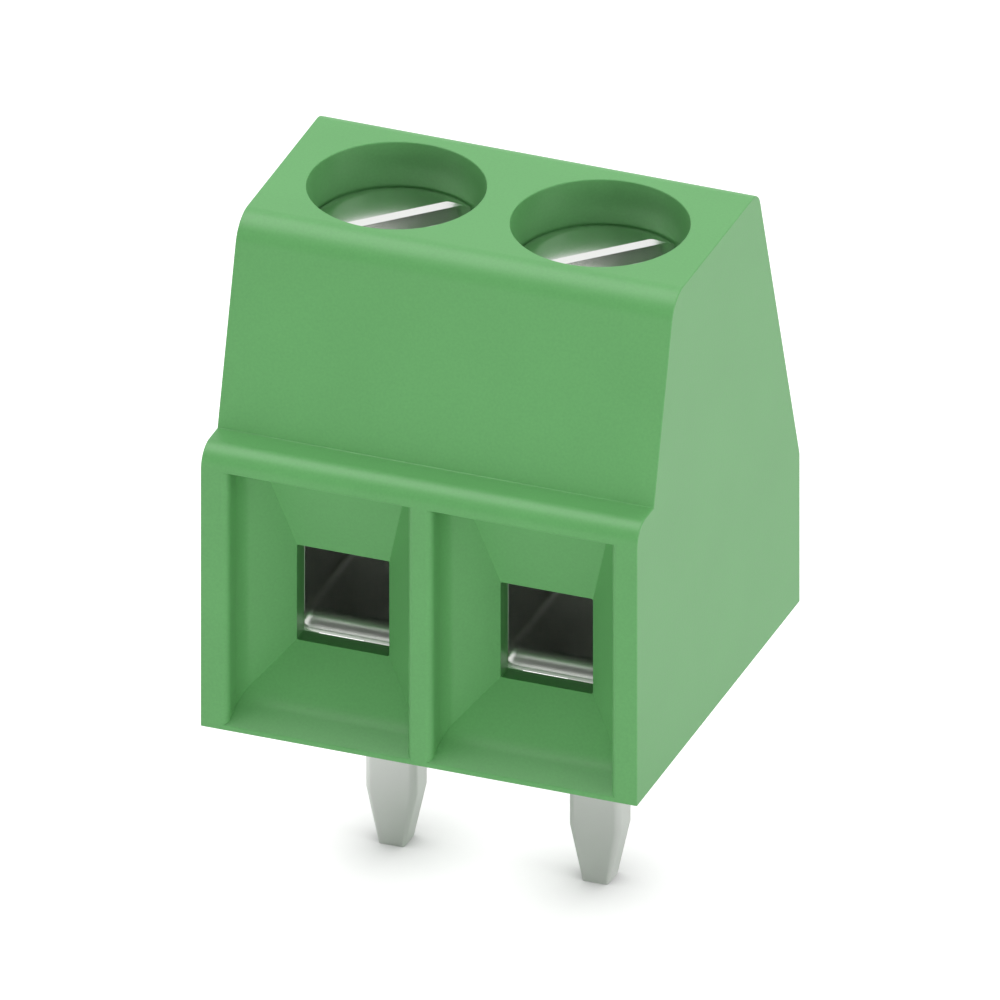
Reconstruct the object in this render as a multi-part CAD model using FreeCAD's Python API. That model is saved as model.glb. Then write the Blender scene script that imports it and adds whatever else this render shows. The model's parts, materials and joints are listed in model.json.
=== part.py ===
import FreeCAD, Part
import math
import os

# Screw terminal for a printed circuit board, with two poles. All sizes are in millimetres.
# +X runs along the row of poles, +Y to the back, +Z up, and the wires enter from the front, at -Y.
# The origin is on the board's surface, midway between the two solder pins.
# In each pole a screw turns in place and lifts a cage, which grips the wire under a current bar.

# Poles
pole_names = ("left", "right")
pole_pitch = 3.5
end_distance = 2.0          # pole axis to the housing's side face

# Wire way, stacked up from the board
window_sill = 1.22          # board to the lower edge of the wire window
window_head = 2.96          # board to the upper edge of the wire window
window_corner = 0.03
wire_width = 1.62           # clear width inside the cage
wire_space = 1.49           # clear height between the open cage's floor and the current bar
window_cover = 0.016        # window's edge inside the cage's clear width, each side

# Cage
cage_drop = 0.09            # window's sill to the open cage's underside
cage_floor = 0.37
cage_side = 0.48
cage_top = 0.93
cage_depth = 4.06
cage_head_room = 0.33       # current bar to the underside of the open cage's top
cage_inside_round = 0.12
cage_outside_round = 0.68
cage_top_round = 0.4
cage_rim_round = 0.18       # outer edges of the cage's two ends
cage_mouth_chamfer = 0.03   # inner edges of the cage's two ends

# Contact: current bar, leg, tail and solder pin in one bent strip
strip_thickness = 0.6
contact_width = 2.24
bend_radius = 0.25          # inside of each bend
bar_setback = 0.15          # cage's front to the bar's front end
leg_gap = 0.15              # cage's back to the leg
leg_shoulder_drop = 0.55    # current bar's underside to the shoulders of the wide leg
tail_gap = 0.08             # tail's upper face to the open cage
tail_neck = 0.95            # pin axis to the shoulders where the tail narrows
pin_width = 0.89
pin_length = 3.5            # below the board's surface
pin_round = 0.08
tip_length = 1.0
tip_width = 0.45
tip_depth = 0.49
tip_round = 0.02

# Screw
thread_radius = 1.0         # M2
head_radius = 1.42
head_height = 0.98
head_flat_radius = 1.03
head_crown_drop = 0.13      # flat top to the head's rim
slot_width = 0.49
slot_depth = 0.55
slot_chamfer = 0.1          # along both edges of the slot
slot_angle = 44.5           # degrees from +X, seen from above
shank_chamfer = 0.2

# Housing
front_reach = 3.57          # pole axis to the front face
back_reach = 3.74           # pole axis to the back face
back_wall_height = 2.72     # where the upright back starts to lean
top_half_depth = 1.9
shoulder_height = 5.08
shoulder_step = 0.75
shoulder_round = 0.37
top_front_round = 0.55
top_back_round = 0.35
head_recess = 0.68          # top face to the screw's flat top
seat_thickness = 0.45       # plastic between the screw head and the cage's chamber

# Entry funnels in the front face
funnel_web = 0.44           # between two funnels
funnel_straight = 0.5       # depth of the upright side walls before they slant in
funnel_side_blend = 0.45
funnel_side_round = 0.14
funnel_lip = 0.08           # board to the front end of the sloping floor
funnel_knee_depth = 0.5     # where the floor turns steeper
funnel_knee_height = 0.38
funnel_knee_blend = 0.8
funnel_edge_round = 0.05
lintel_thickness = 0.39     # shoulder to the funnel's roof
funnel_roof_depth = 0.74
passage_length = 0.325      # plastic between the window and the cage's chamber
chamber_lead_in = 0.4       # how far the chamber's front opens out, from the sill to the board

# Clearances
running_gap = 0.04          # cage to its chamber
thread_gap = 0.03           # shank to the cage's threaded hole
head_gap = 0.03             # screw head to its bore
shank_gap = 0.1             # shank to the hole in its seat
tip_gap = 0.04              # screw's tip to the current bar
bar_side_gap = 0.05         # current bar to the cage's sides
closing_gap = 0.09          # raised cage's floor to the current bar
roof_gap = 0.1              # raised cage to the roof of its chamber
slot_gap = 0.04             # contact's leg to the back of its slot
contact_fit = 0.01          # contact's leg to the sides of its slot

# Heights that follow
cage_underside = window_sill - cage_drop
cage_floor_level = cage_underside + cage_floor
bar_underside = cage_floor_level + wire_space
bar_top = bar_underside + strip_thickness
cage_ceiling = bar_top + cage_head_room
cage_top_level = cage_ceiling + cage_top
cage_travel = wire_space - closing_gap
chamber_roof = cage_top_level + cage_travel + roof_gap
seat_level = chamber_roof + seat_thickness
head_top = seat_level + head_height
body_height = head_top + head_recess
tail_top = cage_underside - tail_gap
tail_underside = tail_top - strip_thickness
funnel_roof = shoulder_height - lintel_thickness

# Widths and depths that follow
pole_count = len(pole_names)
body_width = pole_pitch * (pole_count - 1) + 2 * end_distance
cage_half_width = wire_width / 2 + cage_side
cage_half_depth = cage_depth / 2
chamber_half_width = cage_half_width + running_gap
chamber_half_depth = cage_half_depth + running_gap
leg_front = cage_half_depth + leg_gap
leg_back = leg_front + strip_thickness
bar_width = wire_width - 2 * bar_side_gap
window_half_width = wire_width / 2 - window_cover
funnel_half_width = (pole_pitch - funnel_web) / 2
window_depth = front_reach - chamber_half_depth - passage_length
outside = 1.0               # how far a cut runs past the surface that it opens
tolerance = 1e-4            # how near two points count as one


def pole_places():
    """X of each pole's axis, from left to right."""
    first = -pole_pitch * (pole_count - 1) / 2
    return [first + pole_pitch * i for i in range(pole_count)]


def side_view(y, z):
    """A point of an outline drawn in the plane X = 0."""
    return FreeCAD.Vector(0, y, z)


def front_view(x, z):
    """A point of an outline drawn in the plane Y = 0."""
    return FreeCAD.Vector(x, 0, z)


def plan_view(x, y):
    """A point of an outline drawn in the plane Z = 0."""
    return FreeCAD.Vector(x, y, 0)


def rounded_corner(before, corner, after, radius):
    """Start, middle and end of the arc that rounds a corner between its two neighbours."""
    back = (before - corner).normalize()
    ahead = (after - corner).normalize()
    half_angle = back.getAngle(ahead) / 2
    reach = radius / math.tan(half_angle)
    inward = (back + ahead).normalize()
    middle = corner + inward * (radius / math.sin(half_angle) - radius)
    return corner + back * reach, middle, corner + ahead * reach


def outline(corners, view):
    """Closed wire through corners of (u, v, radius). A radius of 0 leaves the corner sharp."""
    points = [view(u, v) for u, v, radius in corners]
    arcs = []
    for i, (u, v, radius) in enumerate(corners):
        if radius > 0:
            after = points[(i + 1) % len(points)]
            arcs.append(rounded_corner(points[i - 1], points[i], after, radius))
        else:
            arcs.append((points[i], points[i], points[i]))
    edges = []
    for i, (start, middle, end) in enumerate(arcs):
        if start != end:
            edges.append(Part.Arc(start, middle, end).toShape())
        following = arcs[(i + 1) % len(arcs)][0]
        if end.distanceToPoint(following) > tolerance:
            edges.append(Part.makeLine(end, following))
    return Part.Wire(edges)


def slab(corners, view, start, end):
    """Outline drawn in one view and drawn out square to it, from start to end along that axis."""
    square = view(1, 0).cross(view(0, 1))
    axis = FreeCAD.Vector(abs(square.x), abs(square.y), abs(square.z))
    face = Part.Face(outline(corners, view))
    face.translate(axis * start)
    return face.extrude(axis * (end - start))


def box(x0, x1, y0, y1, z0, z1):
    """Box between two corners."""
    return Part.makeBox(x1 - x0, y1 - y0, z1 - z0, FreeCAD.Vector(x0, y0, z0))


def upright_cylinder(radius, low, high):
    """Cylinder about the pole's axis."""
    return Part.makeCylinder(radius, high - low, FreeCAD.Vector(0, 0, low))


def rectangle(half_width, half_depth, radius):
    """Corners of a rounded rectangle in plan."""
    return [(-half_width, -half_depth, radius), (half_width, -half_depth, radius),
            (half_width, half_depth, radius), (-half_width, half_depth, radius)]


def housing_block():
    """Housing before its holes: one side outline drawn out over the full width."""
    front = -front_reach
    corners = [
        (front, 0, 0),
        (back_reach, 0, 0),
        (back_reach, back_wall_height, 0),
        (top_half_depth, body_height, top_back_round),
        (-top_half_depth, body_height, top_front_round),
        (front + shoulder_step, shoulder_height, 0),
        (front, shoulder_height, shoulder_round),
    ]
    return slab(corners, side_view, -body_width / 2, body_width / 2)


def entry_funnel():
    """Space of one funnel: its side outline and its plan outline, each drawn out and overlaid."""
    front = -front_reach
    window = front + window_depth
    lip_edge = funnel_lip - funnel_edge_round
    roof_edge = funnel_roof + funnel_edge_round
    side = [
        (front - outside, lip_edge, 0),
        (front, lip_edge, 0),
        (front, funnel_lip, funnel_edge_round),
        (front + funnel_knee_depth, funnel_knee_height, funnel_knee_blend),
        (window, window_sill, 0),
        (window, window_head, 0),
        (front + funnel_roof_depth, funnel_roof, 0),
        (front, funnel_roof, funnel_edge_round),
        (front, roof_edge + funnel_edge_round, 0),
        (front - outside, roof_edge + funnel_edge_round, 0),
    ]
    flare = funnel_half_width + funnel_side_round
    right_half = [
        (flare, front - outside, 0),
        (flare, front, 0),
        (funnel_half_width, front, funnel_side_round),
        (funnel_half_width, front + funnel_straight, funnel_side_blend),
        (window_half_width, window, 0),
    ]
    left_half = [(-x, y, radius) for x, y, radius in reversed(right_half)]
    height = slab(side, side_view, -flare - outside, flare + outside)
    width = slab(right_half + left_half, plan_view, -outside, body_height)
    return height.common(width)


def wire_passage():
    """Straight way from the window into the cage's chamber."""
    corners = [
        (-window_half_width, window_sill, window_corner),
        (window_half_width, window_sill, window_corner),
        (window_half_width, window_head, window_corner),
        (-window_half_width, window_head, window_corner),
    ]
    return slab(corners, front_view, -front_reach + window_depth, -cage_half_depth)


def cage_chamber():
    """Shaft that guides the cage, open below, where its front leans out to take the cage in."""
    front = -chamber_half_depth
    corners = [
        (front - chamber_lead_in, -outside, 0),
        (chamber_half_depth, -outside, 0),
        (chamber_half_depth, chamber_roof, 0),
        (front, chamber_roof, 0),
        (front, window_sill, 0),
        (front - chamber_lead_in, 0, 0),
    ]
    return slab(corners, side_view, -chamber_half_width, chamber_half_width)


def pole_space():
    """All that is hollow in one pole of the housing."""
    slot_half_width = contact_width / 2 + contact_fit
    leg_slot = box(-slot_half_width, slot_half_width,
                   0, leg_back + slot_gap, -outside, bar_top + slot_gap)
    shank_hole = upright_cylinder(thread_radius + shank_gap, chamber_roof - outside, seat_level)
    head_bore = upright_cylinder(head_radius + head_gap, seat_level, body_height + outside)
    return cage_chamber().fuse([leg_slot, shank_hole, head_bore, wire_passage(), entry_funnel()])


def make_housing():
    """One moulding that holds both poles."""
    housing = housing_block()
    for x in pole_places():
        hollow = pole_space()
        hollow.translate(FreeCAD.Vector(x, 0, 0))
        housing = housing.cut(hollow)
    return housing.removeSplitter()


def make_screw():
    """Slotted screw: a crowned head on a plain shank, whose tip stands just over the current bar."""
    shank_radius = thread_radius - thread_gap
    tip = bar_top + tip_gap
    rim = head_top - head_crown_drop
    crown_run = head_radius - head_flat_radius
    crown_radius = (crown_run ** 2 + head_crown_drop ** 2) / (2 * head_crown_drop)
    turn = math.asin(crown_run / crown_radius) / 2
    crown_middle = front_view(head_flat_radius + crown_radius * math.sin(turn),
                              head_top - crown_radius * (1 - math.cos(turn)))
    crown_start = front_view(head_flat_radius, head_top)
    crown_end = front_view(head_radius, rim)
    lower = [front_view(head_radius, seat_level),
             front_view(shank_radius, seat_level),
             front_view(shank_radius, tip + shank_chamfer),
             front_view(shank_radius - shank_chamfer, tip),
             front_view(0, tip),
             front_view(0, head_top),
             crown_start]
    edges = [Part.Arc(crown_start, crown_middle, crown_end).toShape(),
             Part.makePolygon([crown_end] + lower)]
    half_section = Part.Face(Part.Wire(sum([shape.Edges for shape in edges], [])))
    screw = half_section.revolve(FreeCAD.Vector(0, 0, 0), FreeCAD.Vector(0, 0, 1), 360)
    return screw.cut(screw_slot())


def screw_slot():
    """Space of the slot across the screw's head, with a chamfer along both of its edges."""
    floor = head_top - slot_depth
    half = slot_width / 2
    mouth = half + slot_chamfer
    corners = [
        (-half, floor, 0),
        (half, floor, 0),
        (half, head_top - slot_chamfer, 0),
        (mouth, head_top, 0),
        (mouth, head_top + outside, 0),
        (-mouth, head_top + outside, 0),
        (-mouth, head_top, 0),
        (-half, head_top - slot_chamfer, 0),
    ]
    slot = slab(corners, side_view, -head_radius - outside, head_radius + outside)
    slot.rotate(FreeCAD.Vector(0, 0, 0), FreeCAD.Vector(0, 0, 1), slot_angle)
    return slot


def end_edges(cage, half_width, low, high):
    """Edges in the cage's front and back planes that lie within a half width and two heights."""
    edges = []
    for edge in cage.Edges:
        bounds = edge.BoundBox
        in_an_end = bounds.YLength < tolerance and abs(abs(bounds.YMin) - cage_half_depth) < tolerance
        within = max(-bounds.XMin, bounds.XMax) < half_width + tolerance
        if in_an_end and within and bounds.ZMin > low - tolerance and bounds.ZMax < high + tolerance:
            edges.append(edge)
    return edges


def make_cage():
    """Clamping cage, open along the wire, whose threaded hole breaks into the sides of its opening."""
    outer = [
        (-cage_half_width, cage_underside, cage_outside_round),
        (cage_half_width, cage_underside, cage_outside_round),
        (cage_half_width, cage_top_level, cage_top_round),
        (-cage_half_width, cage_top_level, cage_top_round),
    ]
    half_opening = wire_width / 2
    inner = [
        (-half_opening, cage_floor_level, cage_inside_round),
        (half_opening, cage_floor_level, cage_inside_round),
        (half_opening, cage_ceiling, cage_inside_round),
        (-half_opening, cage_ceiling, cage_inside_round),
    ]
    cage = slab(outer, front_view, -cage_half_depth, cage_half_depth)
    rim = end_edges(cage, cage_half_width, cage_underside, cage_top_level)
    cage = cage.makeFillet(cage_rim_round, rim)
    cage = cage.cut(slab(inner, front_view, -cage_half_depth - outside, cage_half_depth + outside))
    mouth = end_edges(cage, half_opening, cage_floor_level, cage_ceiling)
    cage = cage.makeChamfer(cage_mouth_chamfer, mouth)
    hole_bottom = bar_top - cage_travel - tip_gap
    return cage.cut(upright_cylinder(thread_radius, hole_bottom, cage_top_level + outside))


def contact_strip():
    """Side outline of the bent strip, drawn out to its full width."""
    bend = bend_radius
    outer_bend = bend_radius + strip_thickness
    half = strip_thickness / 2
    bar_front = -cage_half_depth + bar_setback
    foot = -pin_length + tip_length
    corners = [
        (bar_front, bar_underside, 0),
        (leg_front, bar_underside, bend),
        (leg_front, tail_top, bend),
        (-half, tail_top, outer_bend),
        (-half, foot, 0),
        (half, foot, 0),
        (half, tail_underside, bend),
        (leg_back, tail_underside, outer_bend),
        (leg_back, bar_top, outer_bend),
        (bar_front, bar_top, 0),
    ]
    return slab(corners, side_view, -contact_width / 2, contact_width / 2)


def contact_blank():
    """Widths of the strip: narrow bar, wide leg and tail, and the pin, seen from the front."""
    shoulder = bar_underside - leg_shoulder_drop
    wide = box(-contact_width / 2, contact_width / 2,
               tail_neck, leg_back + outside, 0, shoulder)
    bar = box(-bar_width / 2, bar_width / 2,
              -cage_half_depth, leg_back + outside, shoulder, bar_top + outside)
    neck = box(-pin_width / 2, pin_width / 2,
               -strip_thickness, tail_neck, 0, tail_top + outside)
    return wide.fuse([bar, neck])


def solder_pin():
    """Pin below the tail: straight with rounded edges, then drawn in to a small flat tip."""
    foot = -pin_length + tip_length
    half_width = pin_width / 2
    half_depth = strip_thickness / 2
    shank_face = Part.Face(outline(rectangle(half_width, half_depth, pin_round), plan_view))
    shank_face.translate(FreeCAD.Vector(0, 0, foot))
    shank = shank_face.extrude(FreeCAD.Vector(0, 0, -foot))
    tip_wire = outline(rectangle(tip_width / 2, tip_depth / 2, tip_round), plan_view)
    tip_wire.translate(FreeCAD.Vector(0, 0, -pin_length))
    tip = Part.makeLoft([tip_wire, shank_face.OuterWire], True, True)
    return shank.fuse(tip)


def make_contact():
    """Current bar, leg, tail and solder pin, bent from one strip."""
    contact = contact_strip().common(contact_blank())
    return contact.fuse(solder_pin()).removeSplitter()


def main():
    os.makedirs("parts", exist_ok=True)
    make_housing().exportStep("parts/housing.step")
    for name, x in zip(pole_names, pole_places()):
        for piece, make in (("screw", make_screw), ("cage", make_cage), ("contact", make_contact)):
            shape = make()
            shape.translate(FreeCAD.Vector(x, 0, 0))
            shape.exportStep("parts/" + name + "_" + piece + ".step")


main()
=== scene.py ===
import json
import math

import bmesh
import bpy
from mathutils import Matrix, Vector


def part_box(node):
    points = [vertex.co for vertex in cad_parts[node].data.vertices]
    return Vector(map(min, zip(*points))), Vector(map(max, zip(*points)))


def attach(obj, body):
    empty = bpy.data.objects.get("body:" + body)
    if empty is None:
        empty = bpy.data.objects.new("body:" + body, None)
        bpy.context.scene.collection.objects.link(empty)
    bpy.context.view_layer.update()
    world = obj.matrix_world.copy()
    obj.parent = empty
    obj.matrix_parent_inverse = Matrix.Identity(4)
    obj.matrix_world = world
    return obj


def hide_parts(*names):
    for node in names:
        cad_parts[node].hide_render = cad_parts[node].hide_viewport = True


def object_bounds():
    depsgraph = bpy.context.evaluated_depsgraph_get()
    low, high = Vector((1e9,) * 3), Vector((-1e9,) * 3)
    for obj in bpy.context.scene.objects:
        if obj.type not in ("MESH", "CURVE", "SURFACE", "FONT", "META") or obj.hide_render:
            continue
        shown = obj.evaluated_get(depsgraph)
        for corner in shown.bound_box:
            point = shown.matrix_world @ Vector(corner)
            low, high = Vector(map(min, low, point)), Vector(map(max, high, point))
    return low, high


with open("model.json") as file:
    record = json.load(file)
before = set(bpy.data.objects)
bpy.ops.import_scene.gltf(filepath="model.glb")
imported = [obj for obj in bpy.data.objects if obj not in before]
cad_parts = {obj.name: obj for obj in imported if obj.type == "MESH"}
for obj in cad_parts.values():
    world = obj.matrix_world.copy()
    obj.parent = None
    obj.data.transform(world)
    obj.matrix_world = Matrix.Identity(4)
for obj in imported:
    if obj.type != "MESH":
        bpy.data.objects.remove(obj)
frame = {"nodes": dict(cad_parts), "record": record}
cad_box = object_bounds()

# Green screw terminal for a printed circuit board. Forms are worked out in millimetres and
# scaled to metres when they become pieces.
mm = 0.001
sides = ("left", "right")

# Parallel camera
view_azimuth = 20.95        # degrees to the right of the front
view_elevation = 28.85
view_width = 16.046
view_aim = (0.029, 0.0, 3.048)
view_distance = 200.0
view_depth = 2000.0

# Light. A lamp has its direction, the half angles that it fills across and up in degrees, its
# level, and whether reflections show it.
sky_level = 0.35
lamps = {
    "right_lamp": ((0.9, -0.1, 0.35), (20, 20), 2.4, True),
    "top_lamp": ((-0.3, 0.0, 0.95), (22, 22), 3.15, True),
    "front_lamp": ((0.05, -1.0, 0.06), (30, 7), 5.3, False),
    "back_lamp": ((0.1, 0.8, 0.6), (20, 20), 3.0, False),
    "left_lamp": ((-0.7, 0.1, 0.7), (20, 20), 0.3, True),
}
lamp_distance = 80.0
shade_card = ((-0.33, -0.83, 0.5), (24, 20))    # direction and half angles, as for a lamp
card_grey = 0.02
card_roughness = 0.9
floor_size = 600.0
floor_gap = 0.002
floor_bounce = 0.88         # white of the floor as a reflector
floor_seen = 0.45           # the same for the camera, so that little green shows on it
floor_lift = 0.85           # added for the camera, so that the floor is white
mirror_lift = 0.1           # added for reflections
# Painted shadow on the floor round the pins' tips: an occlusion test darkens the floor's glow.
painted_shadow_reach = 1.4         # how far the painted shadow at the pins' tips spreads over the floor
painted_shadow_power = 1.5
painted_shadow_samples = 16

# Moulding
skin_round = 0.015          # outer edges
skin_steps = 2
bore_steps = 3              # extra points on each facet of the screw bores
bore_room = 0.06            # more than the gap from a screw's head to its bore
weld_distance = 0.0005
flat_angle = math.radians(0.5)
sharp_angle = math.radians(28)

# Cage and contact
cage_floor = 0.37
cage_opening = 1.62
lip_round = 0.3             # front edge of the cage's floor
lip_steps = 12
corner_round = 0.12         # corners of the cage's opening
corner_steps = 5

pin_corners = {             # level: half width, half depth, corner radius in the solid and here
    0.0: (0.445, 0.3, 0.08, 0.12),
    -2.5: (0.445, 0.3, 0.08, 0.12),
    -3.5: (0.225, 0.245, 0.02, 0.06),
}
pin_end_round = 0.12        # across its thickness
pin_end_steps = 4
corner_slack = 0.01         # how far off its round, as a share of it, a corner's point may lie
corner_square = 1.9         # sum of both shares at the point of a square corner

# Screw, M2
thread_pitch = 0.4
thread_depth = 0.245
thread_crest = 1 / 8        # flat on the crest, as a share of the pitch
thread_root = 1 / 4
thread_steps = 20           # rings in each pitch
thread_runout = 0.3
shank_radius = 0.97
tip_chamfer = 0.2
screw_facets = 96
head_flat_radius = 1.04
head_blend = 0.25           # radius between the flat top and the sloping rim
head_slope = math.radians(21)
head_edge_round = 0.03
rim_middle = 0.2            # how near the middle of a round comes to its corner, as a share of it
seat_middle = 0.3
blend_steps = 6
slot_width = 0.49
slot_depth = 0.55
slot_chamfer = 0.08
slot_angle = math.radians(44.5)

# Finishes. Sizes and reliefs are in millimetres.
dark_green = (0.112, 0.335, 0.112, 1.0)
light_green = (0.148, 0.445, 0.148, 1.0)
plastic_grain = 0.045
plastic_relief = 0.0012
plastic_roughness = (0.3, 0.14)     # least, and what the grain adds
plastic_shine = 0.36
tone_size = 1.8
tone_share = 0.35                   # of the unevenness; the grain has the rest
turned_ring = 0.03
tin_grain = 0.05
drawn_across = 0.04
drawn_along = 0.6


class Field:
    """A node's output socket. Sums and products of fields add the Math nodes that work them out."""

    def __init__(self, finish, socket):
        self.finish = finish
        self.socket = socket

    def maths(self, operation, *values):
        return self.finish.node("Math", {"operation": operation}, dict(enumerate(values)))

    def __add__(self, other):
        return self.maths("ADD", self, other)

    def __radd__(self, other):
        return self.maths("ADD", other, self)

    def __mul__(self, other):
        return self.maths("MULTIPLY", self, other)

    def __rmul__(self, other):
        return self.maths("MULTIPLY", other, self)

    def __pow__(self, other):
        return self.maths("POWER", self, other)


class Finish:
    """A material or the world, and the nodes that describe it."""

    def __init__(self, owner):
        owner.use_nodes = True
        self.owner = owner
        self.tree = owner.node_tree
        self.tree.nodes.clear()

    def node(self, kind, settings=None, inputs=None, output=0):
        """Adds a node: its settings first, then the values or links of its sockets."""
        made = self.tree.nodes.new("ShaderNode" + kind)
        for name, value in (settings or {}).items():
            setattr(made, name, value)
        for name, value in (inputs or {}).items():
            if isinstance(value, Field):
                self.tree.links.new(value.socket, made.inputs[name])
            else:
                made.inputs[name].default_value = value
        return Field(self, made.outputs[output]) if made.outputs else None


def grey(level):
    """A grey with full alpha."""
    return (level, level, level, 1.0)


def noise(finish, place, size, detail=2.0):
    """Smooth noise from 0 to 1, with blotches of about the given size in millimetres."""
    return finish.node("TexNoise", {}, {"Vector": place, "Scale": 1 / (size * mm), "Detail": detail})


def bump(finish, height, depth):
    """Surface relief of the given depth in millimetres."""
    return finish.node("Bump", {}, {"Strength": 1.0, "Distance": depth * mm, "Height": height})


def surface(finish, inputs):
    """Ends a material in one shader."""
    shader = finish.node("BsdfPrincipled", {}, inputs)
    finish.node("OutputMaterial", {}, {"Surface": shader})
    return finish.owner


def moulded_plastic():
    """Green moulded plastic: fine spark-eroded grain and a faint unevenness of tone."""
    finish = Finish(bpy.data.materials.new("moulded_green_plastic"))
    place = finish.node("TexCoord", output="Object")
    grain = noise(finish, place, plastic_grain)
    tone = noise(finish, place, tone_size, detail=3.0)
    least, spread = plastic_roughness
    green = finish.node("Mix", {"data_type": "RGBA"}, {
        0: tone * tone_share + grain * (1 - tone_share),
        6: dark_green,
        7: light_green,
    }, output=2)
    return surface(finish, {
        "Base Color": green,
        "Roughness": least + spread * grain,
        "Specular IOR Level": plastic_shine,
        "Normal": bump(finish, grain, plastic_relief),
    })


def plated_metal(name, base, roughness, spread, marks, depth):
    """Plated metal whose roughness and relief follow the marks that its making left."""
    finish = Finish(bpy.data.materials.new(name))
    grain = marks(finish, finish.node("TexCoord", output="Object"))
    return surface(finish, {
        "Base Color": base,
        "Metallic": 1.0,
        "Roughness": roughness + spread * grain,
        "Normal": bump(finish, grain, depth),
    })


def turned(finish, place):
    """Fine rings round the screw's axis, as a lathe leaves them."""
    x, y = [finish.node("SeparateXYZ", {}, {0: place}, output=axis) for axis in (0, 1)]
    radius = (x * x + y * y) ** 0.5
    return noise(finish, finish.node("CombineXYZ", {}, {0: radius}), turned_ring)


def fine_grain(finish, place):
    """Even matt grain."""
    return noise(finish, place, tin_grain)


def drawn_grain(finish, place):
    """Grain drawn out along the wire's way, as drawing leaves it on a metal section."""
    stretch = (1.0, drawn_across / drawn_along, 1.0)
    return noise(finish, finish.node("Mapping", {}, {"Vector": place, "Scale": stretch}), drawn_across)


def put_in(name, content):
    """Adds an object to the scene."""
    item = bpy.data.objects.new(name, content)
    bpy.context.scene.collection.objects.link(item)
    return item


def to_object(name, form, material, body, *nodes):
    """Makes a piece from a form in millimetres. It rides on a body and stands for CAD nodes."""
    bmesh.ops.scale(form, vec=(mm, mm, mm), verts=form.verts)
    mesh = bpy.data.meshes.new(name)
    form.to_mesh(mesh)
    form.free()
    mesh.materials.append(material)
    piece = put_in(name, mesh)
    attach(piece, body)
    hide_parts(*nodes)
    return piece


def loft(sections):
    """Solid through outlines with equal numbers of points."""
    form = bmesh.new()
    rings = [[form.verts.new(point) for point in section] for section in sections]
    form.faces.new(rings[0])
    form.faces.new(reversed(rings[-1]))
    for first, last in zip(rings, rings[1:]):
        for i in range(len(first)):
            j = (i + 1) % len(first)
            form.faces.new((first[j], first[i], last[i], last[j]))
    bmesh.ops.recalc_face_normals(form, faces=form.faces)
    return form


def cut_away(form, tool):
    """The form less the tool, as a new form."""
    objects = []
    for each in (form, tool):
        mesh = bpy.data.meshes.new("cutting")
        each.to_mesh(mesh)
        each.free()
        objects.append(put_in("cutting", mesh))
    cut = objects[0].modifiers.new("cut", "BOOLEAN")
    cut.operation = "DIFFERENCE"
    cut.solver = "EXACT"
    cut.object = objects[1]
    bpy.context.view_layer.update()
    solved = objects[0].evaluated_get(bpy.context.evaluated_depsgraph_get())
    result = bmesh.new()
    result.from_mesh(solved.data)
    for each in objects:
        mesh = each.data
        bpy.data.objects.remove(each)
        bpy.data.meshes.remove(mesh)
    return result


def shade_smooth(form):
    """Smooth shading, with creases at the sharp edges."""
    for face in form.faces:
        face.smooth = True
    for edge in form.edges:
        edge.smooth = len(edge.link_faces) == 2 and edge.calc_face_angle() < sharp_angle


def round_off(form, edges, radius, steps):
    """Rounds the given edges."""
    bmesh.ops.bevel(form, geom=edges, offset=radius, segments=steps, profile=0.5, affect="EDGES")


def weigh_normals(piece):
    """Keeps flat faces flat in shading beside narrow rounds."""
    weighted = piece.modifiers.new("flat_faces", "WEIGHTED_NORMAL")
    weighted.keep_sharp = True


def node_form(node):
    """A CAD node's form in millimetres, with one face for each flat stretch."""
    form = bmesh.new()
    form.from_mesh(frame["nodes"][node].data)
    bmesh.ops.scale(form, vec=(1 / mm, 1 / mm, 1 / mm), verts=form.verts)
    bmesh.ops.remove_doubles(form, verts=form.verts, dist=weld_distance)
    bmesh.ops.dissolve_limit(form, angle_limit=flat_angle, verts=form.verts, edges=form.edges)
    shade_smooth(form)
    return form


def screw_joint(side):
    """The record's row for a screw's joint."""
    joints = frame["record"]["behaviour"]["joints"]
    return next(joint for joint in joints if joint["name"] == side + "_screw_turn")


def pole_axis(side):
    """X of the pole's axis in millimetres, from the screw's joint."""
    return screw_joint(side)["pos_m"][0] / mm


def screw_sizes(side):
    """Tip, seat and top of a screw and its head's radius, in millimetres."""
    low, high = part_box(side + "_screw")
    seat = screw_joint(side)["pos_m"][2] / mm
    return low[2] / mm, seat, high[2] / mm, (high[0] - low[0]) / 2 / mm


def on_bore(vert, axis, seat, radius):
    """Whether a point of the housing lies on the wall of the bore round a screw's head."""
    away = math.hypot(vert.co.x - axis, vert.co.y)
    return 0 < away - radius < bore_room and vert.co.z > seat - weld_distance


def smooth_bore(form, side):
    """Puts more points on the facets of a screw's bore, out on its full radius."""
    axis = pole_axis(side)
    _, seat, _, radius = screw_sizes(side)
    rims = [edge for edge in form.edges
            if all(on_bore(vert, axis, seat, radius) for vert in edge.verts)
            and abs(edge.verts[0].co.z - edge.verts[1].co.z) < weld_distance]
    full = max(math.hypot(vert.co.x - axis, vert.co.y) for edge in rims for vert in edge.verts)
    bmesh.ops.subdivide_edges(form, edges=rims, cuts=bore_steps, use_grid_fill=True)
    for vert in form.verts:
        if on_bore(vert, axis, seat, radius):
            share = full / math.hypot(vert.co.x - axis, vert.co.y)
            vert.co.x = axis + (vert.co.x - axis) * share
            vert.co.y *= share


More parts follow.
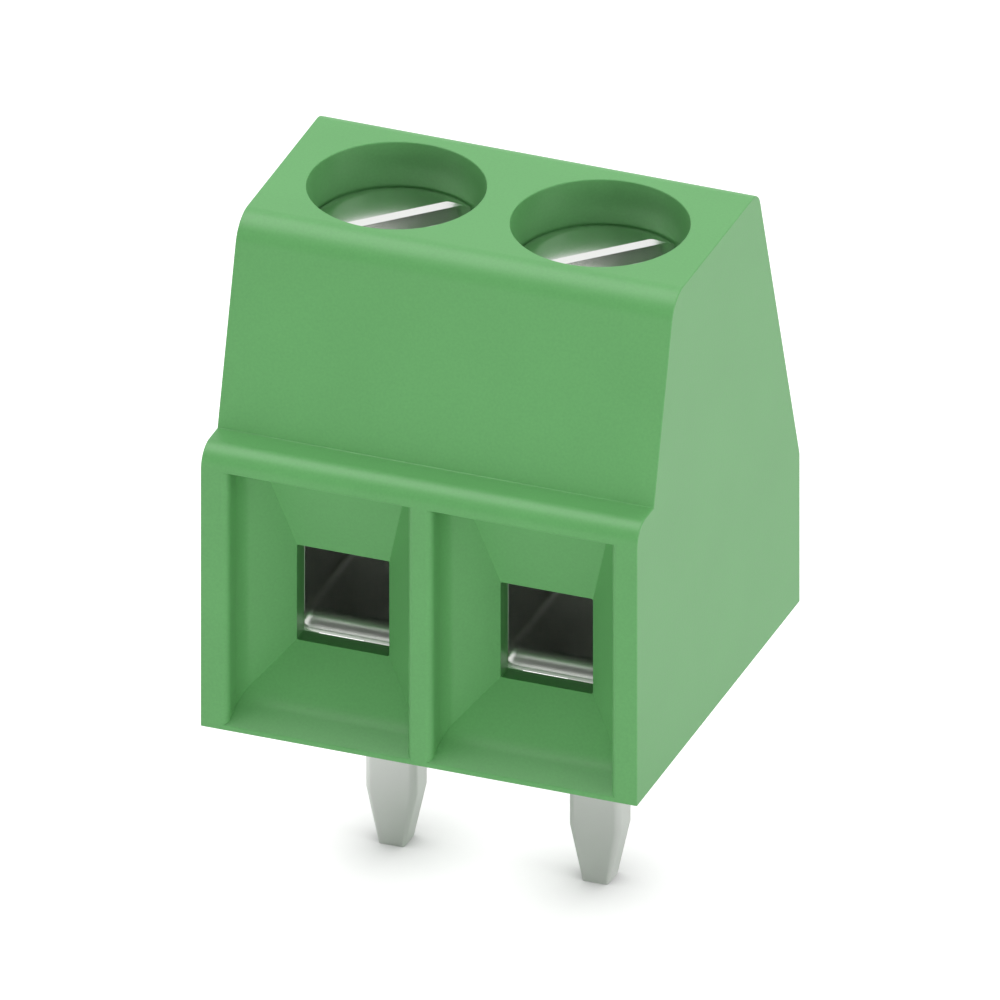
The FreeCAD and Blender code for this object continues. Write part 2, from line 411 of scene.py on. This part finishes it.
def housing_shell(material):
    """The housing with smooth screw bores and small rounds on its outer edges."""
    form = node_form("housing")
    for side in sides:
        smooth_bore(form, side)
    half_width, top = [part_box("housing")[1][axis] / mm for axis in (0, 2)]
    outer = []
    for edge in form.edges:
        on_side = all(abs(abs(vert.co.x) - half_width) < weld_distance for vert in edge.verts)
        on_top = all(abs(vert.co.z - top) < weld_distance for vert in edge.verts)
        if (on_side or on_top) and not edge.smooth:
            outer.append(edge)
    round_off(form, outer, skin_round, skin_steps)
    weigh_normals(to_object("housing_shell", form, material, "housing", "housing"))


def lip_waste(front, level, axis):
    """What comes off the front edge of a cage's floor, and of its corners, to round it."""
    half = cage_opening / 2 - weld_distance
    reach = [corner_round * (1 - math.cos(math.pi / 2 * i / corner_steps)) for i in range(corner_steps + 1)]
    across = [-half + away for away in reach] + [half - away for away in reversed(reach)]
    sections = []
    for x in across:
        past = max(abs(x) - half + corner_round, 0.0)
        rise = corner_round - math.sqrt(max(corner_round ** 2 - past ** 2, 0.0))
        outline = [(front - lip_round, level + lip_round), (front - lip_round, level - lip_round)]
        for i in range(lip_steps + 1):
            turn = math.pi / 2 * i / lip_steps
            outline.append((front + lip_round * (1 - math.cos(turn)),
                            level + rise - lip_round * (1 - math.sin(turn))))
        outline.append((front + lip_round, level + lip_round))
        sections.append([(axis + x, y, z) for y, z in outline])
    return loft(sections)


def cage_with_lip(side, material):
    """The cage, with the front edge of its floor rounded for the wire."""
    node = side + "_cage"
    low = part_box(node)[0]
    waste = lip_waste(low[1] / mm, low[2] / mm + cage_floor, pole_axis(side))
    form = cut_away(node_form(node), waste)
    shade_smooth(form)
    weigh_normals(to_object(node + "_with_lip", form, material, node, node))


def soften_pin(form, axis):
    """Widens the rounds along the pin's corners and rounds its end."""
    for vert in form.verts:
        level = min(pin_corners, key=lambda z: abs(z - vert.co.z))
        if abs(level - vert.co.z) > weld_distance:
            continue
        width, depth, was, now = pin_corners[level]
        across = (abs(vert.co.x - axis) - width + was) / was
        along = (abs(vert.co.y) - depth + was) / was
        on_round = min(across, along) > -corner_slack and max(across, along) < 1 + corner_slack
        if on_round and across + along < corner_square:
            vert.co.x = axis + math.copysign(width - now + now * across, vert.co.x - axis)
            vert.co.y = math.copysign(depth - now + now * along, vert.co.y)
    end = min(pin_corners)
    depth = pin_corners[end][1]
    edges = []
    for edge in form.edges:
        off = [abs(vert.co.z - end) + abs(abs(vert.co.y) - depth) for vert in edge.verts]
        if max(off) < weld_distance:
            edges.append(edge)
    round_off(form, edges, pin_end_round, pin_end_steps)


def contact_strip(side, material):
    """The contact, with its pin's corners and end as soft as stamping and plating leave them."""
    node = side + "_contact"
    form = node_form(node)
    soften_pin(form, pole_axis(side))
    shade_smooth(form)
    weigh_normals(to_object(node + "_strip", form, material, "housing", node))


def head_profile(seat, top, radius):
    """Half section of a screw's head as (radius, height), from the middle of its top to the neck."""
    points = [(head_flat_radius / 2, top)]
    for i in range(blend_steps + 1):
        turn = head_slope * i / blend_steps
        points.append((head_flat_radius + head_blend * math.sin(turn),
                       top - head_blend * (1 - math.cos(turn))))
    slope_start, slope_top = points[-1]
    rim = slope_top - (radius - slope_start) * math.tan(head_slope)
    points += [(radius - head_edge_round, rim + head_edge_round * math.tan(head_slope)),
               (radius - head_edge_round * rim_middle, rim),
               (radius, rim - head_edge_round),
               (radius, seat + head_edge_round),
               (radius - head_edge_round * seat_middle, seat + head_edge_round * seat_middle),
               (radius - head_edge_round, seat),
               (shank_radius, seat)]
    return points


def thread_cut(share):
    """Depth of the thread's groove, from 0 at the crest to 1 at the root, along one pitch."""
    flank = (1 - thread_crest - thread_root) / 2
    from_root = abs((share % 1.0) - 0.5)
    return min(max((0.5 - thread_crest / 2 - from_root) / flank, 0.0), 1.0)


def thread_radius(height, turn, seat, tip):
    """Distance from a screw's axis to its surface below the head, at a height and an angle."""
    fade = min(max((seat - height) / thread_runout - 1, 0.0), 1.0)
    cut = thread_cut(height / thread_pitch - turn / (2 * math.pi))
    limit = shank_radius - tip_chamfer + height - tip
    return min(shank_radius - thread_depth * cut * fade, limit)


def screw_form(side):
    """A screw about its own axis, with a right-hand thread that fades out under the head."""
    tip, seat, top, radius = screw_sizes(side)
    turns = [2 * math.pi * i / screw_facets for i in range(screw_facets)]
    rings = [(height, [away] * screw_facets) for away, height in head_profile(seat, top, radius)]
    count = round((seat - tip) / thread_pitch * thread_steps)
    for i in range(1, count + 1):
        height = seat + (tip - seat) * i / count
        rings.append((height, [thread_radius(height, turn, seat, tip) for turn in turns]))
    return loft([[(away * math.cos(turn), away * math.sin(turn), height) for turn, away in zip(turns, ring)]
                 for height, ring in rings])


def slot_form(top, radius):
    """Space of the slot, with a chamfer along both of its edges."""
    half = slot_width / 2
    mouth = half + slot_chamfer
    right = [(half, top - slot_depth), (half, top - slot_chamfer), (mouth, top), (mouth, top + radius)]
    outline = right + [(-across, height) for across, height in reversed(right)]
    form = loft([[(along, across, height) for across, height in outline]
                 for along in (-2 * radius, 2 * radius)])
    bmesh.ops.rotate(form, cent=(0, 0, 0), matrix=Matrix.Rotation(slot_angle, 3, "Z"), verts=form.verts)
    return form


def slotted_screw(side, material):
    """A screw with its thread and its slot, on the screw's own body."""
    _, _, top, radius = screw_sizes(side)
    form = cut_away(screw_form(side), slot_form(top, radius))
    shade_smooth(form)
    piece = to_object(side + "_slotted_screw", form, material, side + "_screw", side + "_screw")
    piece.location.x = pole_axis(side) * mm


def lamp_radii(half_angles):
    """Half width and half height in metres of what fills the given angles at the lamps' distance."""
    return [lamp_distance * math.tan(math.radians(angle)) * mm for angle in half_angles]


def face_terminal(item, direction):
    """Puts a lamp or card in a direction from the terminal and turns it to face the terminal."""
    towards = Vector(direction).normalized()
    item.location = (Vector(view_aim) + towards * lamp_distance) * mm
    item.rotation_euler = towards.to_track_quat("Z", "Y").to_euler()


def add_lamp(name, direction, half_angles, level, mirrored):
    """Oval lamp that faces the terminal."""
    across, up = lamp_radii(half_angles)
    light = bpy.data.lights.new(name, "AREA")
    light.shape = "ELLIPSE"
    light.size = 2 * across
    light.size_y = 2 * up
    light.energy = level * math.pi ** 2 * across * up
    lamp = put_in(name, light)
    face_terminal(lamp, direction)
    lamp.visible_camera = False
    lamp.visible_glossy = mirrored


def mirrored_share(finish):
    """1 for what metal or glass shows, 0 for light that they pass on to a matt surface."""
    seen = (finish.node("LightPath", output="Is Glossy Ray")
            + finish.node("LightPath", output="Is Transmission Ray"))
    matt = finish.node("LightPath", output="Diffuse Depth")
    return seen * finish.node("Math", {"operation": "LESS_THAN"}, {0: matt, 1: 0.5})


def white_sky():
    """White to the camera, in reflections and through glass, and a plain level as light."""
    world = bpy.data.worlds.new("studio")
    bpy.context.scene.world = world
    finish = Finish(world)
    seen = finish.node("Clamp", {}, {0: finish.node("LightPath", output="Is Camera Ray")
                                     + mirrored_share(finish)})
    strength = seen * (1 - sky_level) + sky_level
    sky = finish.node("Background", {}, {"Color": grey(1.0), "Strength": strength})
    finish.node("OutputWorld", {}, {"Surface": sky})


def white_floor():
    """White floor with a painted shadow close to the pins' tips, and clear from below."""
    finish = Finish(bpy.data.materials.new("white_floor"))
    # Painted shadow: the glow that whitens the floor, for the camera and in reflections, darkens where the
    # pins are near.
    painted_shadow_factor = finish.node("AmbientOcclusion", {"samples": painted_shadow_samples},
                       {"Distance": painted_shadow_reach * mm}, output=1)
    strength = (finish.node("LightPath", output="Is Camera Ray") * floor_lift
                + mirrored_share(finish) * mirror_lift) * painted_shadow_factor ** painted_shadow_power
    white = finish.node("LightPath", output="Is Camera Ray") * (floor_seen - floor_bounce) + floor_bounce
    bounce = finish.node("BsdfDiffuse", {}, {"Color": white})
    glow = finish.node("Emission", {}, {"Color": grey(1.0), "Strength": strength})
    lit = finish.node("AddShader", {}, {0: bounce, 1: glow})
    below = finish.node("NewGeometry", output="Backfacing")
    clear = finish.node("BsdfTransparent")
    both = finish.node("MixShader", {}, {0: below, 1: lit, 2: clear})
    finish.node("OutputMaterial", {}, {"Surface": both})
    return finish.owner


def stage_sheet(name, across, up, material):
    """Flat sheet about its own middle, which isn't part of the terminal."""
    mesh = bpy.data.meshes.new(name)
    corners = [(-across, -up, 0), (across, -up, 0), (across, up, 0), (-across, up, 0)]
    mesh.from_pydata(corners, [], [(0, 1, 2, 3)])
    mesh.materials.append(material)
    sheet = put_in(name, mesh)
    return sheet


def add_floor():
    """The floor lies just under the pins' tips."""
    half = floor_size / 2 * mm
    floor = stage_sheet("floor", half, half, white_floor())
    floor.location.z = cad_box[0].z - floor_gap * mm


def add_card(direction, half_angles):
    """Black card that keeps the sky off, as one beside the camera does."""
    finish = Finish(bpy.data.materials.new("black_card"))
    black = surface(finish, {"Base Color": grey(card_grey), "Roughness": card_roughness})
    card = stage_sheet("shade_card", *lamp_radii(half_angles), black)
    face_terminal(card, direction)
    card.visible_camera = False


def add_camera():
    """Parallel view from the right of the front and above."""
    lens = bpy.data.cameras.new("camera")
    lens.type = "ORTHO"
    lens.ortho_scale = view_width * mm
    lens.clip_start = mm
    lens.clip_end = view_depth * mm
    camera = put_in("camera", lens)
    turn = math.radians(view_azimuth)
    rise = math.radians(view_elevation)
    back = Vector((math.sin(turn) * math.cos(rise), -math.cos(turn) * math.cos(rise), math.sin(rise)))
    camera.location = (Vector(view_aim) + back * view_distance) * mm
    camera.rotation_euler = back.to_track_quat("Z", "Y").to_euler()
    bpy.context.scene.camera = camera


plastic = moulded_plastic()
steel = plated_metal("zinc_plated_steel", base=(0.84, 0.85, 0.83, 1.0),
                     roughness=0.14, spread=0.08, marks=turned, depth=0.0003)
nickel = plated_metal("nickel_plated_brass", base=(0.74, 0.77, 0.72, 1.0),
                      roughness=0.28, spread=0.12, marks=drawn_grain, depth=0.0008)
tin = plated_metal("tin_plated_copper", base=(0.79, 0.8, 0.78, 1.0),
                   roughness=0.28, spread=0.12, marks=fine_grain, depth=0.001)

housing_shell(plastic)
for side in sides:
    slotted_screw(side, steel)
    cage_with_lip(side, nickel)
    contact_strip(side, tin)

white_sky()
for name, lamp in lamps.items():
    add_lamp(name, *lamp)
add_card(*shade_card)
add_floor()
add_camera()
bpy.context.scene.view_settings.view_transform = "Standard"
